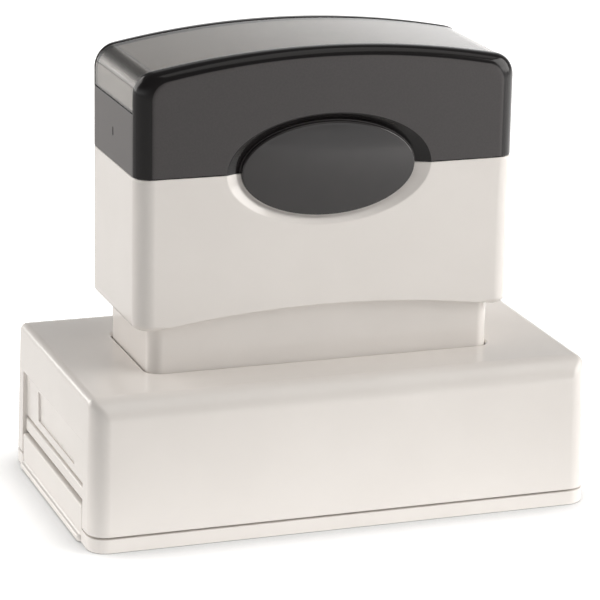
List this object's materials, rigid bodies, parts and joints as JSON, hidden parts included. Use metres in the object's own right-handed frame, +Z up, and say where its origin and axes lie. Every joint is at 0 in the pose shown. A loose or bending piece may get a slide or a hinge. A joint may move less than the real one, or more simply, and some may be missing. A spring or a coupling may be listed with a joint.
{
  "type": "pre-inked hand stamp",
  "caption": "Pre-inked hand stamp: a sprung die in a broad skirt over a dust cap, with a pull-off handle, a lift-off label window in its crown and a bare oval badge.",
  "frame": {"origin": "on the floor, under the middle of the dust cap", "axes": "+X along the length, to the right as seen from the badge side; +Y from the front to the back; +Z up"},
  "size_m": [0.0914, 0.052, 0.0813],
  "materials": {
    "cream_plastic": "glossy moulded plastic",
    "charcoal_plastic": "fine satin texture with polished rims",
    "clear_plastic": "clear polished",
    "label_paper": "uncoated paper",
    "badge_plastic": "high gloss",
    "grey_plastic": "plain moulded",
    "frame_plastic": "plain moulded",
    "steel": "zinc plated",
    "brass": "turned",
    "adhesive_film": "thin adhesive film",
    "ink_foam": "ink-soaked foam",
    "die_rubber": "porous die"
  },
  "bodies": {
    "cap": {"dust_cap": "cream_plastic"},
    "base": {"base_skirt": "cream_plastic", "crossbar_left": "grey_plastic", "crossbar_right": "grey_plastic", "crossbar_screws": "steel", "return_spring_left": "steel", "return_spring_right": "steel"},
    "plunger": {"neck": "cream_plastic", "die_carriage": "grey_plastic", "carriage_screws": "steel", "pad_film": "adhesive_film", "ink_pad": "ink_foam", "stamp_die": "die_rubber", "die_frame": "frame_plastic", "depth_screws": "brass"},
    "handle": {"lower_handle": "cream_plastic", "upper_handle": "charcoal_plastic", "index_label": "label_paper", "badge": "badge_plastic"},
    "window": {"label_window": "clear_plastic"}
  },
  "joints": [
    {"name": "cap_lift", "type": "slide", "parent": "cap", "child": "base", "axis": [0, 0, 1], "range_m": [0, 0.014]},
    {"name": "press_stroke", "type": "slide", "parent": "base", "child": "plunger", "axis": [0, 0, -1], "range_m": [0, 0.007], "stiffness_N_per_m": 2800, "springref_m": -0.003, "deforming": ["return_spring_left", "return_spring_right"]},
    {"name": "handle_pull", "type": "slide", "parent": "plunger", "child": "handle", "axis": [0, 0, 1], "range_m": [0, 0.016]},
    {"name": "window_lift", "type": "slide", "parent": "handle", "child": "window", "axis": [0, 0, 1], "range_m": [0, 0.014]}
  ]
}
